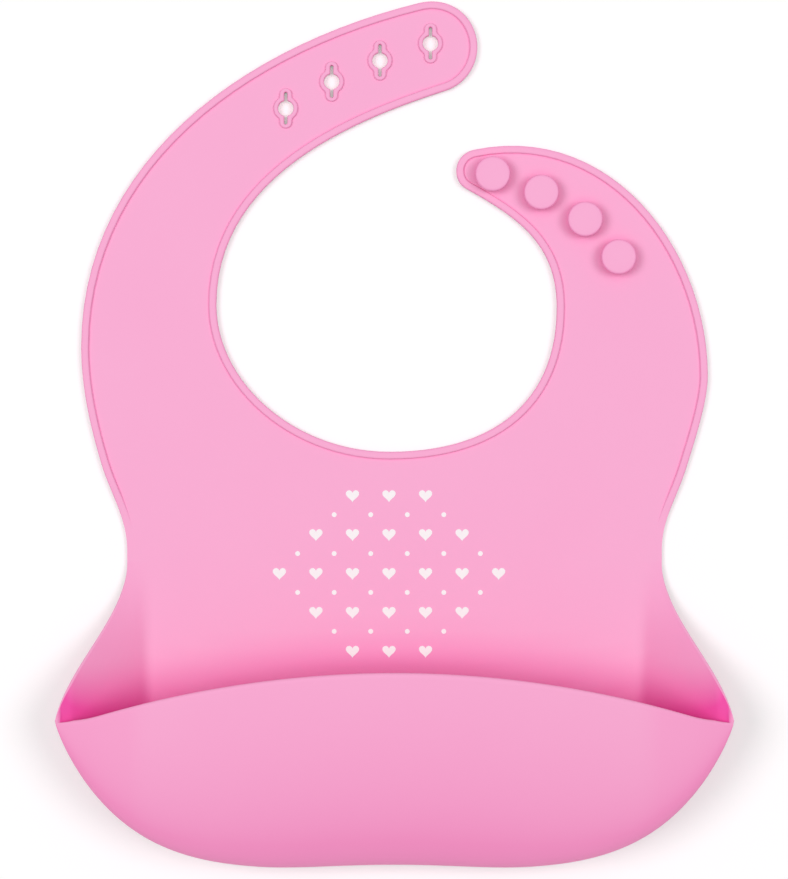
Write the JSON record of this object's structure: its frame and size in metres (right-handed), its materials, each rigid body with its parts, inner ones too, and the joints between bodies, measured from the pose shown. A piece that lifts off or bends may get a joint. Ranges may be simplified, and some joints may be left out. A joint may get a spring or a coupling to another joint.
{
  "type": "silicone bib",
  "caption": "Soft waterproof bib with a round neck opening, a button-and-hole neck strap and a deep pocket that catches food.",
  "frame": {"origin": "on the back of the chest panel, halfway between the waist fold and the neck opening", "axes": "+Z out of the front, towards the open pocket; +Y up towards the neck strap; +X to the right as seen from the front"},
  "size_m": [0.2238, 0.2914, 0.04],
  "materials": {
    "silicone": "satin",
    "print": "satin"
  },
  "bodies": {
    "chest": {"chest_panel": "silicone", "neck_rim": "silicone", "left_side_rim": "silicone", "right_side_rim": "silicone"},
    "hole_strap_1": {"hole_strap_root": "silicone"},
    "hole_strap_2": {"hole_strap_middle": "silicone", "hole_collar_3": "silicone", "hole_collar_4": "silicone"},
    "hole_strap_3": {"hole_strap_end": "silicone", "hole_collar_1": "silicone", "hole_collar_2": "silicone"},
    "button_strap_1": {"button_strap_root": "silicone", "button_3": "silicone", "button_4": "silicone"},
    "button_strap_2": {"button_strap_end": "silicone", "button_1": "silicone", "button_2": "silicone"},
    "pocket": {"pocket_back": "silicone", "pocket_left_side": "silicone", "pocket_right_side": "silicone"},
    "pocket_front": {"pocket_floor": "silicone", "pocket_front": "silicone", "pocket_lip": "silicone"}
  },
  "joints": [
    {"name": "waist_fold", "type": "hinge", "parent": "chest", "child": "pocket", "pos_m": [0, -0.015, 0.00115], "axis": [-1, 0, 0], "range_deg": [-60, 90], "stiffness_Nm_per_rad": 0.01},
    {"name": "pocket_squeeze", "type": "hinge", "parent": "pocket", "child": "pocket_front", "pos_m": [0, -0.098, 0.00115], "axis": [-1, 0, 0], "range_deg": [-12, 25], "stiffness_Nm_per_rad": 0.01},
    {"name": "hole_strap_curl", "type": "hinge", "parent": "chest", "child": "hole_strap_1", "pos_m": [-0.07957, 0.08191, 0.00115], "axis": [-0.9501, 0.312, 0], "range_deg": [-45, 60], "stiffness_Nm_per_rad": 0.002},
    {"name": "hole_strap_curl_middle", "type": "hinge", "parent": "hole_strap_1", "child": "hole_strap_2", "pos_m": [-0.05294, 0.11991, 0.00115], "axis": [-0.6531, 0.7572, 0], "range_deg": [-45, 60], "stiffness_Nm_per_rad": 0.002},
    {"name": "hole_strap_curl_end", "type": "hinge", "parent": "hole_strap_2", "child": "hole_strap_3", "pos_m": [-0.01269, 0.1438, 0.00115], "axis": [-0.3846, 0.9231, 0], "range_deg": [-45, 60], "stiffness_Nm_per_rad": 0.002},
    {"name": "button_strap_curl", "type": "hinge", "parent": "chest", "child": "button_strap_1", "pos_m": [0.0769, 0.07445, 0.00115], "axis": [-0.9396, -0.3422, 0], "range_deg": [-45, 60], "stiffness_Nm_per_rad": 0.002},
    {"name": "button_strap_curl_end", "type": "hinge", "parent": "button_strap_1", "child": "button_strap_2", "pos_m": [0.05722, 0.10038, 0.00115], "axis": [-0.5777, -0.8162, 0], "range_deg": [-45, 60], "stiffness_Nm_per_rad": 0.002}
  ],
  "couplings": [
    {"joint": "hole_strap_curl_middle", "follows": "hole_strap_curl", "ratio": 1},
    {"joint": "hole_strap_curl_end", "follows": "hole_strap_curl", "ratio": 1},
    {"joint": "button_strap_curl_end", "follows": "button_strap_curl", "ratio": 1}
  ]
}
